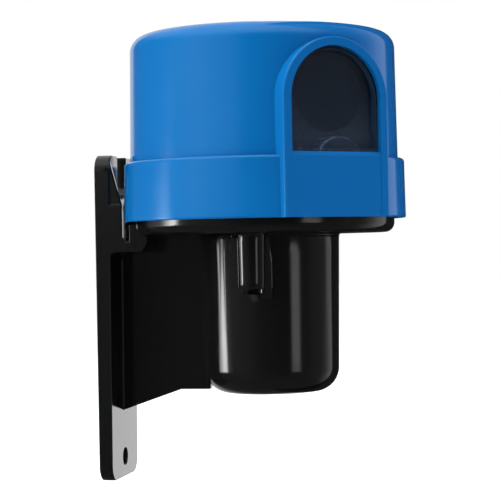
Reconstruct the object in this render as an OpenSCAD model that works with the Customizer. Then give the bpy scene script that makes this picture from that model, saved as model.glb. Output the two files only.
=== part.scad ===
// Wall-mounted photocell switch: blue cap with an arched window, on a black base with barrel and bracket.
// X runs out from the wall, Y across it and Z up, from the middle of the plate's back face. Sizes in mm.

/* [Cap] */
// Outer radius of the skirt, at its foot
skirt_r = 34.2; // [33.6:0.1:37]
// Height of the skirt
skirt_h = 14.2; // [13.8:0.1:15]
// Wall of the skirt
skirt_t = 2.5; // [2.3:0.1:2.8]
// Rounding of the skirt's upper edge
skirt_edge = 0.8; // [0.4:0.1:1.2]
// Rounding of the skirt's lower edge
skirt_foot = 0.4; // [0.2:0.1:0.6]
// Height of the skirt's foot over the middle of the wall plate
skirt_z = 23.1; // [22:0.1:25]
// How far the upper cap stands in from the skirt
cap_step = 1.7; // [1.6:0.1:2.2]
// Height of the whole cap
cap_h = 44.8; // [44:0.2:50]
// Wall of the upper cap
cap_t = 2.2; // [2:0.1:2.8]
// Inward lean of the cap wall and of the skirt wall from foot to top
cap_draft = 0.4; // [0.2:0.1:0.6]
// Rounding of the cap's top edge
cap_edge = 3.9; // [3:0.1:4.5]
// Thickness of the inner shoulder that rests on the seal
shoulder_t = 2.3; // [2:0.1:2.5]
// Radius of the two screw pillars inside the cap
pillar_r = 3.2; // [2.8:0.1:3.4]
// Gap under the pillars, taken up as the seal is squeezed
pillar_gap = 0.3; // [0.2:0.1:0.6]

/* [Window] */
// Turn of the window from straight out of the wall, in degrees
window_turn = 49; // [46:1:52]
// Width of the opening
window_w = 24; // [22:0.2:24.4]
// Height of the opening from the sill to the top of the arch
window_h = 24.1; // [22:0.1:25]
// Height of the sill over the skirt's foot
window_sill = 14.9; // [14.7:0.1:15.4]
// Width of the flat frame round the opening
window_frame = 2.1; // [2:0.1:2.6]
// How far the flat frame stands out past the upper cap
window_proud = 0.5; // [0.4:0.05:0.8]
// Rounding of the frame's front edge
frame_edge = 0.5; // [0.3:0.05:0.7]
// Height of the slope in front of the sill
sill_slope = 1.1; // [0.8:0.1:1.2]
// Depth of that slope
sill_deep = 0.9; // [0.6:0.1:1]
// Depth of the shallow panel under the opening
panel_in = 0.12; // [0.1:0.02:0.3]
// Depth from the frame's face to the pane
window_reveal = 2.7; // [2.4:0.1:3]
// Thickness of the pane
pane_t = 1.8; // [1.5:0.1:2]
// How far the pane laps behind the frame
pane_lap = 1.2; // [1:0.1:1.3]
// Wall of the pane's rim, which lines the opening
pane_rim = 0.6; // [0.5:0.1:0.8]
// How far that rim stays behind the frame's face
pane_rim_set = 1.1; // [1.1:0.1:1.4]
// Free play round the pane's edge
pane_play = 0.1; // [0.05:0.05:0.2]
// Radius of the round lens field on the pane's back
lens_r = 9; // [8:0.5:9.5]
// Height of the lens field
lens_t = 0.4; // [0.3:0.1:0.6]
// Rise of the lens field's middle over the middle of the arch
lens_lift = 1.5; // [1:0.1:2]

/* [Base] */
// Gap between the skirt and the base inside it
skirt_play = 0.3; // [0.2:0.1:0.4]
// How far the base shows under the skirt
base_drop = 3.4; // [3:0.1:3.6]
// Rounding of the base's lower edge
base_edge = 2.3; // [1.5:0.1:2.4]
// Thickness of the base floor
floor_t = 2.4; // [2.2:0.1:2.8]
// Wall of the base rim inside the skirt
rim_t = 2.4; // [2.2:0.1:2.6]
// Thickness of the seal between rim and cap shoulder
seal_t = 1.5; // [1.2:0.1:1.8]
// How far the seal stands in from both sides of the rim
seal_inset = 0.2; // [0.1:0.1:0.4]
// Barrel radius under the base
barrel_r = 16.9; // [16.6:0.1:17.3]
// Barrel radius at its foot
barrel_foot_r = 16.3; // [16:0.1:16.5]
// Length of the barrel under the base
barrel_len = 38.2; // [36:0.2:42]
// Rounding of the barrel's foot
barrel_edge = 5.8; // [5:0.1:6.2]
// How far the barrel stands out from the cap's axis, away from the wall
barrel_shift = 1.1; // [0.8:0.1:1.4]
// Wall of the barrel
barrel_t = 2.4; // [2.2:0.1:2.5]
// Thickness of the barrel's end
barrel_end_t = 3.6; // [3.4:0.1:4]
// Fillet where the barrel meets the base
barrel_root = 0.8; // [0.5:0.1:1.2]
// Radius of the two screw bosses beside the barrel, under the base
boss_r = 3.4; // [3.3:0.1:3.6]
// Radius of the screw bosses at their lower ends
boss_foot_r = 3.2; // [3.1:0.1:3.3]
// Length of the screw bosses under the base
boss_len = 13; // [12:0.2:15]
// Distance of the screw bosses from the cap's axis
boss_out = 18; // [17.8:0.1:18.4]
// Thickness of boss end left over the screw head
boss_seat = 3.7; // [3.2:0.1:4.5]

/* [Wall bracket] */
// Height of the wall plate
plate_h = 79; // [78:0.5:86]
// Width of the wall plate
plate_w = 24; // [22:0.5:26]
// Thickness of the plate from the shelf up
plate_t = 3.7; // [3.5:0.1:4.2]
// Thickness of the plate at its lower end
plate_foot_t = 3.3; // [3:0.1:3.5]
// Rounding of the plate's corners
plate_corner = 4; // [3:0.5:5]
// Gap between the plate and the skirt
plate_gap = 1.6; // [1.2:0.1:2]
// Thickness of the shelf that carries the base
shelf_t = 2.6; // [2.2:0.1:3]
// Gap between the shelf and the base floor above it
shelf_drop = 1.2; // [1:0.1:1.5]
// How far the shelf reaches out from the plate
shelf_reach = 9.1; // [8.6:0.1:9.4]
// Rounding under the shelf's outer end
shelf_round = 2.4; // [2:0.1:2.6]
// Thickness of the riser from the shelf's outer end up to the base
riser_t = 4.4; // [4:0.1:4.8]
// Gap between the riser and the skirt
riser_gap = 0.5; // [0.3:0.1:0.8]
// Fillet between plate and shelf
shelf_fillet = 1.5; // [1:0.1:2]
// Thickness of the middle web
web_t = 2.6; // [2.2:0.1:3.2]
// Height of the web's lower edge over the barrel's end
web_lift = 0.6; // [0.1:0.1:0.8]
// Drop of the web's lower edge at the plate
web_drop = 5; // [3:0.5:7]
// Length over which the web's lower edge drops
web_slope = 14.4; // [12:0.2:16]
// Thickness of the two side ribs over the shelf
rib_t = 1.2; // [1:0.1:1.6]
// How far the upper ribs stand in from the plate's sides
rib_inset = 0.25; // [0.15:0.05:0.4]
// Clearance between the side ribs and the skirt
rib_clear = 0.4; // [0.2:0.05:0.6]
// Height over which the side ribs slope back to the plate
rib_len = 10.4; // [9:0.2:11]
// Height of the ribs' straight part over the skirt's foot
rib_rise = 4.2; // [3:0.2:5]
// Spread of the ribs' feet on the shelf
rib_foot = 0.9; // [0.6:0.1:1.1]
// Diameter of the lower fixing hole
hole_d = 4.2; // [4:0.1:4.6]
// Width of the open slot at the top
slot_w = 7.8; // [7:0.1:8.4]
// Distance between the slot's round end and the lower hole
fix_pitch = 67.5; // [64:0.5:69]
// Depth of the slot's round end under the top of the plate
slot_down = 6.5; // [6:0.1:7]

/* [Cable entry] */
// Radius of the hole in the barrel's end
entry_r = 5; // [4.6:0.1:5.4]
// Radius of the recess for the grommet
entry_recess_r = 7.4; // [7:0.1:7.8]
// Depth of that recess
entry_recess = 1.7; // [1.5:0.1:1.8]
// Radius of the grommet's two flanges
grommet_r = 6.8; // [6.4:0.1:6.9]
// Thickness of the grommet's flanges
grommet_flange = 1.3; // [1.1:0.1:1.4]
// Radius of the cable bore
cable_r = 3.2; // [2.5:0.1:3.6]

/* [Screws] */
// Radius of the cap screws
screw_r = 1.3; // [1.2:0.05:1.4]
// Radius of the cap screws' heads
screw_head_r = 2.3; // [2.1:0.1:2.4]
// Height of the cap screws' heads
screw_head_h = 1.8; // [1.5:0.1:2]
// Length of cap screw inside the pillar
screw_grip = 10; // [8:0.5:14]
// Free play round a screw in its clearance hole
screw_play = 0.15; // [0.1:0.05:0.2]
// Free play of a screw in the hole it cuts its thread in
thread_play = 0.05; // [0.02:0.01:0.08]
// Width of the cross recess in the heads
cross_w = 0.6; // [0.5:0.1:0.8]
// Depth of the cross recess
cross_deep = 0.8; // [0.6:0.1:1]
// Radius of the board screws
small_r = 1; // [0.9:0.05:1.1]
// Radius of the board screws' heads
small_head_r = 2; // [1.8:0.1:2.2]
// Height of the board screws' heads
small_head_h = 1.4; // [1.2:0.1:1.6]

/* [Circuit board] */
// Height of the posts that carry the board
post_h = 4; // [3.6:0.2:5]
// Radius of those posts
post_r = 2.4; // [2.2:0.1:2.6]
// Distance of the posts in from the board's edge
post_in = 4; // [3.6:0.1:4.4]
// Thickness of the board
board_t = 1.6; // [1.2:0.1:2]
// Gap between the board's edge and the base rim
board_gap = 1.8; // [1.5:0.1:2.2]
// Gap between the board and the cap pillars
board_play = 0.4; // [0.3:0.1:0.6]
// Radius of the way through the board for the cable
cable_way_r = 4.2; // [3.8:0.1:4.3]
// Place of that way from the cap's axis
cable_way = [5, 9];
// Radius of the component leads
lead_r = 0.35; // [0.3:0.01:0.4]
// Free play of a lead in the board
lead_play = 0.05; // [0.02:0.01:0.1]
// Length of lead past the board
lead_past = 1.2; // [1:0.1:1.6]

/* [Relay] */
// Length, width and height of the relay
relay_size = [19, 15.4, 14.8];
// Shift of the relay off the barrel's axis, making room for the cable
relay_shift = 2.5; // [2:0.1:2.6]
// Spacing of the relay's leads along and across
relay_pitch = [14, 10];
// Gap between the relay and the board, clear of the other leads
relay_stand = 1.6; // [1.5:0.1:2]
// Thickness of the relay's foot plate
relay_foot = 1.6; // [1.4:0.1:2]
// How far the foot plate stands out round the case
relay_lip = 0.3; // [0.2:0.1:0.4]

/* [Components] */
// Length, width and height of the film capacitor
film_size = [18, 7.4, 13.6];
// Place of the film capacitor
film_at = [-7.2, -10];
// Spacing of the film capacitor's leads
film_pitch = 15; // [14:0.5:16]
// Radius and height of the smoothing capacitor
smooth_size = [5, 16];
// Place of the smoothing capacitor
smooth_at = [12.5, 3];
// Spacing of its leads
smooth_pitch = 5; // [4:0.5:5.5]
// Radius and height of the timing capacitor
timing_size = [2.5, 11];
// Place of the timing capacitor
timing_at = [-2.5, 10.5];
// Spacing of its leads
timing_pitch = 2; // [1.6:0.1:2.4]
// Depth of the rolled groove round both cans
can_groove = 0.4; // [0.3:0.1:0.5]
// Height of that groove over the can's foot
can_groove_up = 2; // [1.6:0.1:2.4]
// Radius and thickness of the varistor
varistor_size = [5, 3.6];
// Place of the varistor
varistor_at = [-9, 12];
// Height of the varistor's leads under its disc
varistor_leg = 1; // [0.6:0.1:1.5]
// Spacing of the varistor's leads
varistor_pitch = 5; // [4.5:0.5:6]
// Radius and height of the fuse
fuse_size = [4, 8];
// Place of the fuse
fuse_at = [12, 14];
// Spacing of the fuse's leads
fuse_pitch = 5; // [4:0.5:5.5]
// Radius and length of the rectifier diodes
diode_size = [1.35, 5.2];
// Places of the rectifier diodes
diodes_at = [[-10, -0.5], [-6, -0.5], [-2, -0.5], [2, -0.5]];
// Place of the zener diode
zener_at = [6, -0.5];
// Spacing of the leads of both kinds of diode
diode_pitch = 8.5; // [8:0.1:8.6]
// Radius and length of the resistors
resistor_size = [1.2, 6.4];
// Distance of the first resistor behind the sensor's leads
resistor_back = 2.3; // [2.2:0.1:2.6]
// Distance from the first resistor to the second
resistor_step = 3.3; // [3.1:0.1:3.6]
// Spacing of the resistors' leads
resistor_pitch = 10; // [9:0.5:10.5]
// Swell of the resistors' ends
resistor_end = [0.25, 1.6];
// Radius, height and flat of the transistor
transistor_size = [2.3, 4.6, 1.3];
// Place of the transistor
transistor_at = [18.6, 9.4];
// Spacing of the transistor's leads
transistor_pitch = 1.3; // [1.2:0.05:1.6]
// Height of the transistor over the board
transistor_leg = 2; // [1.5:0.1:3]

/* [Light sensor] */
// Height of the sensor's middle over the skirt's foot
sensor_up = 12.2; // [12:0.1:13]
// Shift of the sensor off the window's middle
sensor_side = 4.5; // [4:0.1:4.6]
// Radius of the sensor disc
sensor_r = 5.2; // [4.8:0.1:5.4]
// Thickness of the sensor disc
sensor_t = 2.4; // [2.2:0.1:2.8]
// Gap between the sensor and the pane
sensor_gap = 1.2; // [1:0.1:1.6]
// Depth of the sensor in its holder
sensor_sunk = 1.4; // [1:0.1:1.6]
// Wall of the holder round the sensor
holder_wall = 1.4; // [1:0.1:1.4]
// Thickness of the holder behind the sensor
holder_back = 2.8; // [2.4:0.1:3]
// Spacing of the sensor's leads
sensor_pitch = 3.4; // [3:0.1:4]
// Distance of the leads' bend behind the holder
sensor_bend = 1; // [0.8:0.1:1.2]
// Radius of the sensor's own tails
sensor_tail_r = 0.28; // [0.25:0.01:0.3]

/* [Terminals] */
// Depth, width and height of the terminal block
block_size = [8.4, 15.6, 11];
// Place of the terminal block
block_at = [-19, 2];
// Number of terminals
poles = 3; // [2:1:3]
// Spacing of the terminals
pole_pitch = 5; // [4.8:0.1:5.2]
// Depth, width and height of a clamp
clamp_size = [5.2, 3.6, 4.6];
// Height of the clamps over the board
clamp_up = 1.6; // [1.2:0.1:2]
// Radius of the wire hole in a clamp
clamp_hole_r = 1.2; // [1:0.1:1.4]
// Radius of the terminal screws
clamp_screw_r = 1; // [0.8:0.1:1.2]
// Radius of the terminal screws' heads
clamp_head_r = 1.6; // [1.4:0.1:1.7]
// Height of the terminal screws' heads
clamp_head_h = 2; // [1.6:0.1:2.4]
// Free play round the heads in their wells
well_play = 0.2; // [0.1:0.05:0.25]

/* [Hidden] */
$fn = 64;
past = 1;
right_angle = 90;
both = [-1, 1];
axis_x = plate_t + plate_gap + skirt_r;
skirt_top_r = skirt_r - cap_draft / 2;
skirt_in_r = skirt_r - skirt_t;
cap_r = skirt_r - cap_step;
cap_top_r = cap_r - cap_draft;
cap_in_r = cap_top_r - cap_t;
cap_in_edge = cap_edge - cap_t;
cap_in_top = cap_h - cap_t;
shoulder_z = skirt_h - shoulder_t;
window_face = cap_r + window_proud;
window_half = window_w / 2;
window_out = window_half + window_frame;
window_spring = window_sill + window_h - window_half;
pane_front = window_face - window_reveal;
pane_back = pane_front - pane_t;
pane_half = window_half + pane_lap;
pane_foot = window_sill - pane_lap;
rim_half = window_half - pane_play;
rim_foot = window_sill + pane_play;
frame_back = cap_in_r / 2;
base_r = skirt_in_r - skirt_play;
rim_in_r = base_r - rim_t;
base_z = skirt_z - base_drop;
floor_z = base_z + floor_t;
rim_top_z = skirt_z + shoulder_z - seal_t;
barrel_z = base_z - barrel_len;
barrel_in_edge = barrel_edge - barrel_t;
barrel_x = axis_x + barrel_shift;
boss_z = base_z - boss_len;
seat_z = base_z - boss_seat;
counterbore_r = screw_head_r + screw_play;
pillar_z = floor_z + pillar_gap;
pilot_len = screw_grip + past;
plate_top_z = plate_h / 2;
shelf_top_z = base_z - shelf_drop;
shelf_z = shelf_top_z - shelf_t;
shelf_end_x = plate_t + shelf_reach;
shelf_turn_x = shelf_end_x - shelf_round;
shelf_mid_z = shelf_top_z - shelf_t / 2;
riser_x = shelf_end_x - riser_t;
riser_top_z = skirt_z - riser_gap;
web_z = barrel_z + web_lift;
web_end_x = barrel_x - barrel_foot_r + barrel_t / 2;
web_top_z = base_z + floor_t / 2;
rib_z = skirt_z + rib_rise;
rib_in_y = plate_w / 2 - rib_t - rib_inset;
rib_x = axis_x - sqrt(pow(skirt_r, 2) - pow(rib_in_y, 2)) - rib_clear;
rib_top_z = rib_z + rib_len;
slot_z = plate_top_z - slot_down;
hole_z = slot_z - fix_pitch;
recess_top_z = barrel_z + entry_recess;
entry_in_z = barrel_z + barrel_end_t;
board_r = rim_in_r - board_gap;
post_out = board_r - post_in;
board_z = floor_z + post_h;
board_top_z = board_z + board_t;
pad_z = board_z - lead_past;
relay_top_z = board_z - relay_stand;
post_turns = [-5, 120, 240];
small_len = board_t + post_h - past;
sensor_z = skirt_z + sensor_up;
sensor_front = pane_back - sensor_gap;
sensor_back = sensor_front - sensor_t;
holder_front = sensor_back + sensor_sunk;
holder_rear = sensor_back - holder_back;
holder_half = sensor_r + holder_wall;
sensor_lead_d = holder_rear - sensor_bend;
resistor_rows = [sensor_lead_d - resistor_back, sensor_lead_d - resistor_back - resistor_step];
clamp_z = board_top_z + clamp_up;
clamp_top_z = clamp_z + clamp_size[2];
block_face_x = block_at[0] + block_size[0] / 2;
block_top_z = board_top_z + block_size[2];
screw_well_r = clamp_head_r + well_play;
clamp_mid_x = block_face_x - clamp_size[0] / 2;
diode_z = board_top_z + diode_size[0];
resistor_end_r = resistor_size[0] + resistor_end[0];
resistor_z = board_top_z + resistor_end_r;

// Places its children on the cap's axis.
module on_axis() {
    translate([axis_x, 0, 0])
        children();
}

// Places its children on the barrel's axis.
module on_barrel() {
    translate([barrel_x, 0, 0])
        children();
}

// Extrudes an upright outline along the window's direction, between two distances from the axis.
module facing(near, far) {
    rotate([0, 0, -window_turn])
        translate([near, 0, 0])
            rotate([right_angle, 0, right_angle])
                linear_extrude(height = far - near)
                    children();
}

// Arch outline: a straight-sided foot under a half circle.
module arch(half, foot, spring) {
    translate([-half, foot])
        square([2 * half, spring - foot]);
    translate([0, spring])
        circle(r = half);
}

// Extrudes an outline drawn in X and Z across the bracket.
module across(width) {
    translate([0, width / 2, 0])
        rotate([right_angle, 0, 0])
            linear_extrude(height = width)
                children();
}

// Round bar along Z between two heights.
module post(radius, from, to) {
    translate([0, 0, from])
        cylinder(r = radius, h = to - from);
}

// Cross recess cut into a screw head whose face is at the given height.
module cross_cut(radius, face, way) {
    for (turn = [0, right_angle])
        rotate([0, 0, turn])
            translate([-radius, -cross_w / 2, way > 0 ? face - cross_deep : face - past])
                cube([2 * radius, cross_w, cross_deep + past]);
}

// Leads through the board at a list of places.
module leads(places, top) {
    for (place = places)
        translate(place)
            post(lead_r, pad_z, top);
}

// Two places set apart along X or Y round a middle.
function pair_x(at, pitch) = [for (side = both) [at[0] + side * pitch / 2, at[1]]];
function pair_y(at, pitch) = [for (side = both) [at[0], at[1] + side * pitch / 2]];

// Place on the board for a distance toward the window and a distance across it.
function turned(at) = [at[0] * cos(window_turn) + at[1] * sin(window_turn),
    at[1] * cos(window_turn) - at[0] * sin(window_turn)];

relay_leads = [for (i = both) for (j = both)
    [barrel_shift + i * relay_pitch[0] / 2, j * relay_pitch[1] / 2 - relay_shift]];
film_leads = pair_x(film_at, film_pitch);
smooth_leads = pair_y(smooth_at, smooth_pitch);
timing_leads = pair_y(timing_at, timing_pitch);
varistor_leads = pair_y(varistor_at, varistor_pitch);
fuse_leads = pair_x(fuse_at, fuse_pitch);
diode_leads = [for (at = diodes_at) for (lead = pair_y(at, diode_pitch)) lead];
zener_leads = pair_y(zener_at, diode_pitch);
resistor_leads = [for (far = resistor_rows) for (lead = pair_y([far, 0], resistor_pitch)) turned(lead)];
transistor_leads = [for (i = [-1, 0, 1]) [transistor_at[0], transistor_at[1] + i * transistor_pitch]];
block_leads = [for (i = [0 : poles - 1]) [clamp_mid_x, block_at[1] + (i - (poles - 1) / 2) * pole_pitch]];
sensor_leads = [for (lead = pair_y([sensor_lead_d, sensor_side], sensor_pitch)) turned(lead)];
all_leads = concat(relay_leads, film_leads, smooth_leads, timing_leads, varistor_leads, fuse_leads,
    diode_leads, zener_leads, resistor_leads, transistor_leads, block_leads, sensor_leads);

// Outer half section of the cap.
module cap_outline() {
    polygon([[0, 0], [skirt_r - skirt_foot, 0], [skirt_r, skirt_foot], [skirt_top_r, skirt_h - skirt_edge],
        [skirt_top_r - skirt_edge, skirt_h], [0, skirt_h]]);
    translate([skirt_r - skirt_foot, skirt_foot])
        circle(r = skirt_foot);
    translate([skirt_top_r - skirt_edge, skirt_h - skirt_edge])
        circle(r = skirt_edge);
    polygon([[0, shoulder_z], [cap_r, shoulder_z], [cap_top_r, cap_h - cap_edge],
        [cap_top_r - cap_edge, cap_h], [0, cap_h]]);
    translate([cap_top_r - cap_edge, cap_h - cap_edge])
        circle(r = cap_edge);
}

// Inner half section of the cap.
module cap_hollow() {
    translate([0, -past])
        square([skirt_in_r, shoulder_z + past]);
    square([cap_in_r, cap_in_top - cap_in_edge]);
    square([cap_in_r - cap_in_edge, cap_in_top]);
    translate([cap_in_r - cap_in_edge, cap_in_top - cap_in_edge])
        circle(r = cap_in_edge);
}

// Half section across the window frame, with its front edge rounded.
module frame_section() {
    translate([0, frame_back])
        square([window_out, window_face - frame_edge - frame_back]);
    translate([0, frame_back])
        square([window_out - frame_edge, window_face - frame_back]);
    translate([window_out - frame_edge, window_face - frame_edge])
        circle(r = frame_edge);
}

// Solid arched block that the window is cut in.
module frame_block() {
    rotate([0, 0, -window_turn]) {
        translate([0, 0, window_spring])
            rotate([0, right_angle, 0])
                rotate_extrude()
                    frame_section();
        linear_extrude(height = window_spring)
            for (side = [0, 1])
                mirror([0, side, 0])
                    mirror([1, -1, 0])
                        frame_section();
    }
}

// Blue cap with its skirt, the flat arched window frame and two screw pillars.
module cap() {
    color("royalblue")
        translate([axis_x, 0, skirt_z])
            difference() {
                union() {
                    difference() {
                        union() {
                            difference() {
                                rotate_extrude()
                                    cap_outline();
                                facing(window_face, skirt_r + past)
                                    translate([-window_out - past, -past])
                                        square([2 * window_out + 2 * past, cap_h + 2 * past]);
                            }
                            frame_block();
                        }
                        rotate_extrude()
                            cap_hollow();
                    }
                    for (side = both)
                        translate([0, side * boss_out, 0])
                            post(pillar_r, pillar_z - skirt_z, cap_in_top + cap_t / 2);
                }
                rotate([0, 0, -window_turn])
                    across(window_w)
                        polygon([[window_face, window_sill - sill_slope],
                            [window_face + past, window_sill - sill_slope],
                            [window_face + past, window_sill + past],
                            [window_face - sill_deep, window_sill + past],
                            [window_face - sill_deep, window_sill]]);
                facing(window_face - panel_in, window_face + past)
                    translate([-window_half, -past])
                        square([window_w, window_sill + past]);
                facing(frame_back, window_face + past)
                    arch(window_half, window_sill, window_spring);
                facing(pane_back - past, pane_front)
                    arch(pane_half + pane_play, pane_foot - pane_play, window_spring);
                for (side = both)
                    translate([0, side * boss_out, pillar_z - skirt_z - past])
                        cylinder(r = screw_r + thread_play, h = pilot_len + past);
            }
}

// Smoked pane bonded behind the frame, with a rim that lines the opening and a lens field on its back.
module window_pane() {
    color("dimgray", 0.6)
        translate([axis_x, 0, skirt_z]) {
            facing(pane_back, pane_front)
                arch(pane_half, pane_foot, window_spring);
            facing(pane_front - pane_t / 2, window_face - pane_rim_set)
                difference() {
                    arch(rim_half, rim_foot, window_spring);
                    arch(rim_half - pane_rim, rim_foot + pane_rim, window_spring);
                }
            facing(pane_back - lens_t, pane_back + pane_t / 2)
                translate([0, window_spring + lens_lift])
                    circle(r = lens_r);
        }
}

// Outer half section of the base cup.
module base_outline() {
    translate([0, base_z])
        square([base_r - base_edge, rim_top_z - base_z]);
    translate([0, base_z + base_edge])
        square([base_r, rim_top_z - base_z - base_edge]);
    translate([base_r - base_edge, base_z + base_edge])
        circle(r = base_edge);
}

// Outer half section of the barrel.
module barrel_outline() {
    polygon([[0, barrel_z], [barrel_foot_r - barrel_edge, barrel_z], [barrel_foot_r, barrel_z + barrel_edge],
        [barrel_r, floor_z], [0, floor_z]]);
    translate([barrel_foot_r - barrel_edge, barrel_z + barrel_edge])
        circle(r = barrel_edge);
    difference() {
        translate([barrel_r - barrel_t, base_z - barrel_root])
            square([barrel_t + barrel_root, floor_t]);
        translate([barrel_r + barrel_root, base_z - barrel_root])
            circle(r = barrel_root);
    }
}

// Inner half section of the barrel.
module barrel_hollow() {
    polygon([[0, entry_in_z], [barrel_foot_r - barrel_edge, entry_in_z],
        [barrel_foot_r - barrel_t, entry_in_z + barrel_in_edge],
        [barrel_r - barrel_t, floor_z + past], [0, floor_z + past]]);
    translate([barrel_foot_r - barrel_edge, entry_in_z + barrel_in_edge])
        circle(r = barrel_in_edge);
}

// Side outline of the plate, flat on the wall and thinning toward its lower end.
module plate_side() {
    polygon([[0, -plate_top_z], [plate_foot_t, -plate_top_z], [plate_t, shelf_z], [plate_t, plate_top_z],
        [0, plate_top_z]]);
}

// Front outline of the plate with rounded corners, as width by height.
module plate_front() {
    square([plate_w - 2 * plate_corner, plate_h], center = true);
    square([plate_w, plate_h - 2 * plate_corner], center = true);
    for (i = both)
        for (j = both)
            translate([i * (plate_w / 2 - plate_corner), j * (plate_h / 2 - plate_corner)])
                circle(r = plate_corner);
}

// Side outline of the shelf with the riser that carries the base.
module shelf_side() {
    translate([plate_t / 2, shelf_z])
        square([shelf_turn_x - plate_t / 2, shelf_t]);
    translate([riser_x, shelf_z + shelf_round])
        square([riser_t, riser_top_z - shelf_z - shelf_round]);
    intersection() {
        translate([shelf_turn_x, shelf_z + shelf_round])
            circle(r = shelf_round);
        translate([shelf_turn_x, shelf_z])
            square([shelf_round, shelf_round]);
    }
    difference() {
        translate([plate_t / 2, shelf_z - shelf_fillet])
            square([plate_t / 2 + shelf_fillet, shelf_fillet]);
        translate([plate_t + shelf_fillet, shelf_z - shelf_fillet])
            circle(r = shelf_fillet);
    }
}

// Side outline of the middle web between plate, shelf and barrel.
module web_side() {
    polygon([[plate_foot_t / 2, web_z - web_drop], [plate_t, web_z - web_drop], [plate_t + web_slope, web_z],
        [web_end_x, web_z], [web_end_x, web_top_z], [shelf_turn_x, web_top_z], [shelf_turn_x, shelf_mid_z],
        [plate_foot_t / 2, shelf_mid_z]]);
}

// Side outline of the ribs' straight part, spreading onto the shelf.
module rib_side() {
    polygon([[plate_t / 2, shelf_mid_z], [rib_x + rib_foot, shelf_mid_z], [rib_x + rib_foot, shelf_top_z],
        [rib_x, base_z], [rib_x, rib_z], [plate_t / 2, rib_z]]);
}

// Side outline of the ribs' upper part, sloping back to the plate.
module rib_sweep() {
    polygon([[plate_t / 2, rib_z - past], [rib_x, rib_z - past], [rib_x, rib_z], [plate_t, rib_top_z],
        [plate_t / 2, rib_top_z]]);
}

// Wall plate, shelf, web and ribs as one solid with its fixing slot and hole.
module bracket() {
    difference() {
        intersection() {
            union() {
                across(plate_w)
                    plate_side();
                for (side = both)
                    translate([0, side * ((plate_w - rib_t) / 2 - rib_inset), 0])
                        across(rib_t)
                            rib_sweep();
            }
            rotate([right_angle, 0, right_angle])
                linear_extrude(height = rib_x + past)
                    plate_front();
        }
        translate([-past, 0, hole_z])
            rotate([0, right_angle, 0])
                cylinder(d = hole_d, h = plate_t + 2 * past);
        translate([-past, 0, slot_z])
            rotate([0, right_angle, 0])
                cylinder(d = slot_w, h = plate_t + 2 * past);
        translate([-past, -slot_w / 2, slot_z])
            cube([plate_t + 2 * past, slot_w, slot_down + past]);
    }
    across(plate_w)
        shelf_side();
    across(web_t)
        web_side();
    for (side = both)
        translate([0, side * (plate_w - rib_t) / 2, 0])
            across(rib_t)
                rib_side();
}

// Black moulding: cup under the cap, barrel, screw bosses and wall bracket in one piece.
module base() {
    color("dimgray") {
        difference() {
            union() {
                bracket();
                on_axis()
                    rotate_extrude()
                        base_outline();
                on_barrel()
                    rotate_extrude()
                        barrel_outline();
                for (side = both)
                    translate([axis_x, side * boss_out, boss_z])
                        cylinder(r1 = boss_foot_r, r2 = boss_r, h = floor_z - boss_z);
            }
            on_axis()
                post(rim_in_r, floor_z, rim_top_z + past);
            on_barrel()
                rotate_extrude()
                    barrel_hollow();
            on_barrel()
                post(entry_recess_r, barrel_z - past, recess_top_z);
            on_barrel()
                post(entry_r, barrel_z, entry_in_z + past);
            for (side = both)
                translate([axis_x, side * boss_out, 0]) {
                    post(counterbore_r, boss_z - past, seat_z);
                    post(screw_r + screw_play, seat_z - past, floor_z + past);
                }
        }
        on_axis()
            for (turn = post_turns)
                rotate([0, 0, turn])
                    translate([post_out, 0, 0])
                        difference() {
                            post(post_r, floor_z - floor_t / 2, board_z);
                            post(small_r + thread_play, floor_z, board_z + past);
                        }
    }
}

// Rubber seal between the base rim and the cap's shoulder.
module seal_ring() {
    color("black")
        on_axis()
            difference() {
                post(base_r - seal_inset, rim_top_z, rim_top_z + seal_t);
                post(rim_in_r + seal_inset, rim_top_z - past, rim_top_z + seal_t + past);
            }
}

// Two screws from below, through the bosses into the cap's pillars.
module cap_screws() {
    color("silver")
        for (side = both)
            translate([axis_x, side * boss_out, 0])
                difference() {
                    union() {
                        post(screw_head_r, seat_z - screw_head_h, seat_z);
                        post(screw_r, seat_z - screw_head_h / 2, pillar_z + screw_grip);
                    }
                    cross_cut(screw_head_r / 2, seat_z - screw_head_h, -1);
                }
}

// Rubber grommet in the barrel's end.
module cable_grommet() {
    color("black")
        on_barrel()
            difference() {
                union() {
                    post(grommet_r, recess_top_z - grommet_flange, recess_top_z);
                    post(entry_r, recess_top_z - grommet_flange / 2, entry_in_z + grommet_flange / 2);
                    post(grommet_r, entry_in_z, entry_in_z + grommet_flange);
                }
                post(cable_r, barrel_z - past, entry_in_z + grommet_flange + past);
            }
}

// Round circuit board with its holes.
module circuit_board() {
    color("darkkhaki")
        on_axis()
            difference() {
                post(board_r, board_z, board_top_z);
                for (side = both)
                    translate([0, side * boss_out, 0])
                        post(pillar_r + board_play, board_z - past, board_top_z + past);
                for (turn = post_turns)
                    rotate([0, 0, turn])
                        translate([post_out, 0, 0])
                            post(small_r + screw_play, board_z - past, board_top_z + past);
                translate(cable_way)
                    post(cable_way_r, board_z - past, board_top_z + past);
                for (place = all_leads)
                    translate(place)
                        post(lead_r + lead_play, board_z - past, board_top_z + past);
            }
}

// Three screws that hold the board on its posts.
module board_screws() {
    color("silver")
        on_axis()
            for (turn = post_turns)
                rotate([0, 0, turn])
                    translate([post_out, 0, 0])
                        difference() {
                            union() {
                                post(small_head_r, board_top_z, board_top_z + small_head_h);
                                post(small_r, board_top_z - small_len, board_top_z + small_head_h / 2);
                            }
                            cross_cut(small_head_r / 2, board_top_z + small_head_h, 1);
                        }
}

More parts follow.
